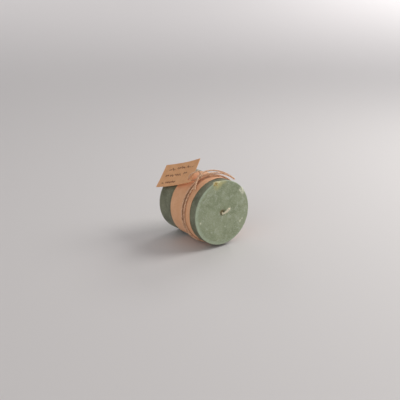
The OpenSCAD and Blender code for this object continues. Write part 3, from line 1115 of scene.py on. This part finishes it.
@dataclass
class JuteTie:
    """One length of three-ply jute.

    It goes twice round the band and is knotted, and has a loop, a tail and the tag's thread.
    """

    lie: Lie
    diameter: float = 1.4
    turn_radius: float = 33.75
    knot_y: float = TIE_Y
    half_pitch: float = 1.95
    turn_from: float = 2.0
    turn_to: float = 322.0
    lead_rise: float = 2.0
    core_right: tuple[float, float, float] = (-15.0, 3.2, -0.2)
    core_left: tuple[float, float, float] = (-22.5, 3.0, 0.5)
    wrap_radius: float = 1.75
    ring_step: float = 0.42
    ply_count: int = 3
    ply_pitch: float = 6.0
    ply_offset: float = 0.41
    ply_radius: float = 0.4
    ease_length: float = 0.7
    sway: float = 0.3
    hairs: int = 620
    frayed_hairs: int = 34
    hair_reach: tuple[float, float] = (0.8, 2.6)
    frayed_reach: tuple[float, float] = (1.0, 2.4)
    hair_radii: tuple[float, float] = (0.035, 0.014)
    undone_length: float = 10.0
    loop_route: Route = (
        (-16, 4.6, 0.6), (-11, 5.2, 0.8), (-4, 5.1, 0.6), (5, 4.7, 0.2), (14, 4.3, -0.3),
        (22, 4.0, -0.8), (30, 3.9, -1.3), (37, 3.9, -1.7), (43, 4.1, -2.2), (46, 4.0, -3.3),
        (44.5, 3.6, -4.5), (39, 3.1, -5.0), (32, 2.9, -5.0), (24, 2.8, -4.8), (15, 2.8, -4.3),
        (6, 2.9, -3.4), (-3, 3.0, -2.2), (-11, 3.1, -1.0),
    )
    tail_route: Route = (
        (-19, 4.4, -0.6), (-22.5, 4.4, -1.4), (-28.5, 3.3, -2.6), (-36, 1.9, -4.4),
        (-43.5, 0.9, -6.4),
    )
    thread_route: Route = (
        (-18, 4.6, 0.9), (-16.5, 6.4, 1.2), (-17, 8.0, 1.6), (-20.5, 8.8, 2.4), (-26, 8.9, 3.8),
        (-31, 8.0, 5.3), (-32.7, 5.4, 5.8), (-32, 3.4, 5.2), (-28.5, 2.3, 3.2), (-24.5, 2.6, 1.6),
    )
    rng: random.Random = field(default_factory=lambda: random.Random(23))

    def over_turns(self, p: Sequence[float]) -> Vector:
        """A point from its angle, its height over the turns and its distance behind the knot."""
        return on_ring(p[0], self.turn_radius + p[1], self.knot_y + p[2])

    def lead(self, turn_angle: float, knot_angle: float, side: int) -> Route:
        """The rise from a turn to the knot, from the turn's end.

        Args:
            turn_angle: Angle where the turn ends.
            knot_angle: Angle where the lead enters the knot.
            side: -1 for the front turn and 1 for the rear one.

        Returns:
            Route points from the turn to the knot.
        """
        points = []
        for share in (0.25, 0.5, 0.75, 1.0):
            rise = ease(share)
            angle = turn_angle + (knot_angle - turn_angle) * share
            points.append((angle, self.lead_rise * rise, self.half_pitch * side * (1 - 0.8 * rise)))
        return points

    def turn(self, side: int) -> Route:
        """One turn round the band, from the crest's +X side to its -X side, swaying a little."""
        points = []
        for angle in np.linspace(self.turn_from, self.turn_to, 46):
            sway = self.sway * noise.noise(Vector((angle / 34, side * 5.0, 0)))
            points.append((float(angle), 0.0, self.half_pitch * side + sway))
        return points

    def wraps(self, start: float, stop: float, turns: float, radius: float) -> Route:
        """Wraps round the crossing strands, on a circle across the twine's run.

        Args:
            start: Angle round the candle where the wrap starts.
            stop: Angle where it ends.
            turns: Number of wraps.
            radius: Radius of the wrap.

        Returns:
            Route points along the wrap.
        """
        count = int(turns * 10)
        points = []
        for i in range(count + 1):
            share = i / count
            angle = start + (stop - start) * share
            swing = 2 * math.pi * turns * share
            points.append((angle, 3.0 + radius * math.cos(swing), 0.1 + radius * math.sin(swing)))
        return points

    def centreline(self) -> np.ndarray:
        """The whole string's middle line, from the tail's tip to the thread's end in the knot."""
        left = self.turn_to - 360
        route = list(reversed(self.tail_route)) + [(-17, 3.4, 0.1)]
        for side in (-1, 1):
            route += list(reversed(self.lead(self.turn_from, self.core_right[0], side)))
            route += self.turn(side)
            route += [(a + 360, h, w) for a, h, w in self.lead(left, self.core_left[0], side)]
        route = [(a - 360 if a > 330 else a, h, w) for a, h, w in route]
        route += self.wraps(-21.5, -16.5, 2.0, self.wrap_radius)
        route += list(self.loop_route)
        route += [(-16.5, 3.2, 0.1), (-19.5, 4.0, 0.9)]
        route += list(self.thread_route)
        route += [(-20.5, 3.2, 0.6)]
        path = resample(smooth_route([self.over_turns(p) for p in route]), self.ring_step)
        spread = self.ease_length / self.ring_step
        reach = int(spread * 3)
        weights = np.exp(-0.5 * (np.arange(-reach, reach + 1) / spread) ** 2)
        weights /= weights.sum()
        padded = np.pad(path, ((reach, reach), (0, 0)), mode="edge")
        eased = np.stack([np.convolve(padded[:, k], weights, "valid") for k in range(3)], axis=1)
        return resample(eased, self.ring_step)

    def plies(self, path: np.ndarray) -> list[Strand]:
        """Twist the plies round the middle line, coming undone at the tail.

        Args:
            path: The middle line.

        Returns:
            Each ply's path and radii.
        """
        _, u, v = transport(path)
        along = np.arange(len(path)) * self.ring_step
        undone = np.clip(1 - along / self.undone_length, 0, 1)
        made = []
        for k in range(self.ply_count):
            lumps = np.array([noise.noise(Vector((s * 0.45, k * 9.0, 0))) for s in along])
            twist = along / self.ply_pitch + 0.03 * lumps + k / self.ply_count
            phase = 2 * math.pi * (twist + 0.35 * undone ** 2)
            swing = np.cos(phase)[:, None] * u + np.sin(phase)[:, None] * v
            loosen = 1 + 0.75 * undone ** 1.5
            radii = self.ply_radius * (1 + 0.12 * lumps + 0.3 * undone)
            radii[[0, -1]] *= 0.5
            made.append((path + swing * (self.ply_offset * loosen)[:, None], radii))
        return made

    def hair(self, root: np.ndarray, go: np.ndarray, reach: float) -> Strand:
        """One loose fibre that curls away from its root."""
        curl = np.array([self.rng.uniform(-1, 1) for _ in range(3)]) * 0.45
        shares = np.linspace(0, 1, 5)[:, None]
        path = root + reach * (shares * go + shares ** 2 * curl)
        radius = np.hypot(path[:, 0], path[:, 2])
        clear = np.maximum(1.0, (self.lie.radius + 0.6) / np.maximum(radius, 1))
        near_band = (radius > self.lie.radius - 3) & (path[:, 1] > 0)
        path[:, [0, 2]] *= np.where(near_band, clear, 1.0)[:, None]
        return path, np.linspace(*self.hair_radii, 5)

    def fibres(self, path: np.ndarray) -> list[Strand]:
        """Loose fibres all along the string, and a frayed end on the tail."""
        tangents, u, v = transport(path)
        made = []
        for _ in range(self.hairs):
            i = self.rng.randrange(2, len(path) - 2)
            turn = self.rng.uniform(0, 2 * math.pi)
            out = math.cos(turn) * u[i] + math.sin(turn) * v[i]
            go = tangents[i] * self.rng.choice((-1, 1)) * self.rng.uniform(0.4, 1.0)
            made.append(self.hair(path[i] + out * 0.5, go + out * self.rng.uniform(0.15, 0.7),
                                  self.rng.uniform(*self.hair_reach)))
        for _ in range(self.frayed_hairs):
            side = np.array([self.rng.uniform(-0.5, 0.5) for _ in range(3)])
            made.append(self.hair(path[1] + side * 0.7, -tangents[0] + side * 0.6,
                                  self.rng.uniform(*self.frayed_reach)))
        return made

    def build(self) -> None:
        path = self.centreline()
        nodes = ["twine_turn_front", "twine_turn_rear", "twine_knot",
                 "twine_bow_loop", "twine_tail", "tag_thread"]
        string = sweep("jute_twine", self.plies(path), 8)
        lay_down(string, self.lie, 60)
        self.press_on_floor(string)
        finish_piece(string, Body.TIE, JuteFinish().material(), nodes)
        line = self.lie.place(path)
        hairs = sweep("jute_fibres", self.fibres(path), 3)
        lay_down(hairs, self.lie, 60)
        self.press_on_floor(hairs)
        loose = JuteFinish(
            "jute_fibre", tone(232, 204, 168), tone(204, 168, 128), tone(150, 112, 78)
        )
        finish_piece(hairs, Body.TIE, loose.material())

    @staticmethod
    def press_on_floor(piece: bpy.types.Object) -> None:
        """Flatten what would sink into the floor."""
        for vertex in piece.data.vertices:
            vertex.co.z = max(vertex.co.z, 0.01 * MM)
        piece.data.update()


# ---------------------------------------------------------------- the tag


@dataclass
class TagCard:
    """The kraft card with a punched hole, slightly bowed, with generic pen strokes."""

    lie: Lie
    length: float = 49.0
    height: float = 28.7
    thickness: float = 0.4
    centre: tuple[float, float, float] = (-19.1, 47.9, 33.6)
    lean: float = 41.0
    rise: float = 16.0
    heading: float = 76.3
    hole: tuple[float, float] = (20.5, -9.85)
    hole_diameter: float = 4.0
    bow: float = 1.2

    def point(self, u: float, v: float) -> Vector:
        """A point of the flat card's middle layer, with rubbed corners and a wavering cut edge."""
        x, y = (u - 0.5) * self.length, (v - 0.5) * self.height
        corner = max(0.0, abs(2 * u - 1) * abs(2 * v - 1) - 0.93) * 5
        rub = 1 - 0.012 * corner
        waver = 0.09 * noise.noise(Vector((x, y, 0)) * 0.3)
        return Vector((x * rub, y * rub + waver * abs(2 * v - 1) ** 8, 0))

    def punch(self, piece: bpy.types.Object) -> None:
        """Cut the round hole near the corner."""
        deselect_all()
        bpy.ops.mesh.primitive_cylinder_add(
            vertices=48, radius=self.hole_diameter / 2 * MM, depth=4 * MM,
            location=(self.hole[0] * MM, self.hole[1] * MM, 0),
        )
        cutter = bpy.context.object
        take(piece)
        cut = piece.modifiers.new("Hole", "BOOLEAN")
        cut.operation, cut.solver, cut.object = "DIFFERENCE", "EXACT", cutter
        bpy.ops.object.modifier_apply(modifier=cut.name)
        bpy.data.objects.remove(cutter)

    def curl(self, piece: bpy.types.Object) -> None:
        """Bow the card's middle towards the candle and lift its far corner a little."""
        points = read_points(piece)
        along, up = points[:, 0] / (self.length / 2), points[:, 1] / (self.height / 2)
        points[:, 2] -= self.bow * (1 - along ** 2)
        points[:, 2] += 0.5 * np.clip(along * up, 0, 1) ** 2
        write_points(piece, points)

    def build(self) -> None:
        """Cut, punch, bow, place and dress the card."""
        piece = wrap_grid("tag_card", 84, 50, self.point)
        thicken(piece, self.thickness)
        tidy_normals(piece)
        self.punch(piece)
        self.curl(piece)
        turn = Euler([math.radians(a) for a in (self.lean, -self.rise, -self.heading)]).to_matrix()
        piece.data.transform(Matrix.Translation(Vector(self.centre) * MM) @ turn.to_4x4())
        lay_down(piece, self.lie, 35)
        card = KraftFinish(
            "kraft_card", (self.length * MM, self.height * MM),
            tone(229, 170, 119), tone(170, 116, 73), tone(238, 182, 132),
            pen_rows=((0.76, 0.14, 0.9, 0.034), (0.47, 0.1, 0.76, 0.031), (0.17, 0.1, 0.5, 0.02)),
        )
        finish_piece(piece, Body.TAG, card.material(), ["tag"])


# ---------------------------------------------------------------- the studio


@dataclass(frozen=True)
class Softbox:
    """A soft square light.

    Args:
        name: Name of the light.
        spot: Its place to the camera's right, away from it and up, in metres.
        size: Side of the square, in metres.
        power: Power in watts.
        colour: Its colour.
        drop: How far it looks straight down, in metres, or 0 to look at the candle.
    """

    name: str
    spot: tuple[float, float, float]
    size: float
    power: float
    colour: Colour
    drop: float = 0.0


@dataclass
class Studio:
    """The pale ground, the soft light and the camera."""

    aim: Vector = field(default_factory=lambda: Vector((-0.0001, 0.00187, 0.03763)))
    azimuth: float = -35.41
    elevation: float = 19.36
    distance: float = 0.6128
    lens: float = 54.0
    ground_size: float = 9.0
    flat_radius: float = 1.6
    lights: tuple[Softbox, ...] = (
        Softbox("key", (0.8, 0.17, 0.72), 0.55, 6.0, (1.0, 0.985, 0.96)),
        Softbox("fill", (-1.1, -1.8, 1.1), 1.8, 10.5, (1.0, 0.98, 0.97)),
        Softbox("backdrop", (1.9, 3.2, 2.0), 1.6, 60.0, (1.0, 0.99, 1.0), drop=2.0),
        Softbox("left_backdrop", (-1.4, 3.2, 2.0), 1.6, 16.0, (1.0, 0.99, 1.0), drop=2.0),
    )
    surroundings: Colour = (0.94, 0.92, 0.93)
    surroundings_strength: float = 0.38

    def heading(self, right: float, forward: float, up: float) -> Vector:
        """A direction from its parts to the camera's right, away from the camera and up."""
        turn = math.radians(self.azimuth)
        side = Vector((math.cos(turn), math.sin(turn), 0))
        away = Vector((-math.sin(turn), math.cos(turn), 0))
        return side * right + away * forward + Vector((0, 0, up))

    def ground(self) -> None:
        """A floor that curves up all round, far from the object."""

        def place(u: float, v: float) -> Vector:
            """A point of the ground, in millimetres."""
            x, y = (u - 0.5) * self.ground_size, (v - 0.5) * self.ground_size
            beyond = max(0.0, math.hypot(x, y) - self.flat_radius)
            return Vector((x, y, 0.07 * beyond ** 2 - 0.00002)) / MM

        piece = wrap_grid("ground", 120, 120, place)
        take(piece)
        bpy.ops.object.shade_smooth()
        piece.data.materials.append(FloorFinish().material())

    def light(self, box: Softbox) -> None:
        """Add a soft square light that looks at the candle or straight down."""
        data = bpy.data.lights.new(box.name, "AREA")
        data.size, data.energy, data.color = box.size, box.power, box.colour
        light = bpy.data.objects.new(box.name, data)
        spot = self.heading(*box.spot)
        target = spot - Vector((0, 0, box.drop)) if box.drop else self.aim
        light.location = spot
        light.rotation_euler = (target - spot).to_track_quat("-Z", "Y").to_euler()
        bpy.context.scene.collection.objects.link(light)

    def build(self) -> None:
        """Set the ground, the lights, the surroundings and the camera."""
        self.ground()
        for box in self.lights:
            self.light(box)
        world = bpy.data.worlds.new("pale_surroundings")
        world.use_nodes = True
        background = world.node_tree.nodes["Background"]
        background.inputs["Color"].default_value = (*self.surroundings, 1)
        background.inputs["Strength"].default_value = self.surroundings_strength
        scene = bpy.context.scene
        scene.world = world
        scene.view_settings.view_transform = "Standard"
        lens = bpy.data.cameras.new("camera")
        lens.lens, lens.sensor_width, lens.clip_end = self.lens, 36.0, 50.0
        camera = bpy.data.objects.new("camera", lens)
        lift = math.radians(self.elevation)
        back = self.heading(0, -math.cos(lift), math.sin(lift))
        camera.location = self.aim + back * self.distance
        camera.rotation_euler = (-back).to_track_quat("-Z", "Y").to_euler()
        scene.collection.objects.link(camera)
        scene.camera = camera


def main() -> None:
    """Build the studio and then every piece."""
    logging.basicConfig(level=logging.INFO, format="%(name)s: %(message)s")
    lie = Lie.from_frame(WaxPillar.rim)
    LOG.info("pillar %.2f x %.2f mm", 2 * lie.radius, lie.length)
    LOG.info("tilt %.3f degrees", math.degrees(lie.tilt))
    for sub_assembly in (Studio(), JuteTie(lie), WaxPillar(lie), PaperBand(lie), TagCard(lie)):
        sub_assembly.build()
    deselect_all()


if __name__ == "__main__":
    main()
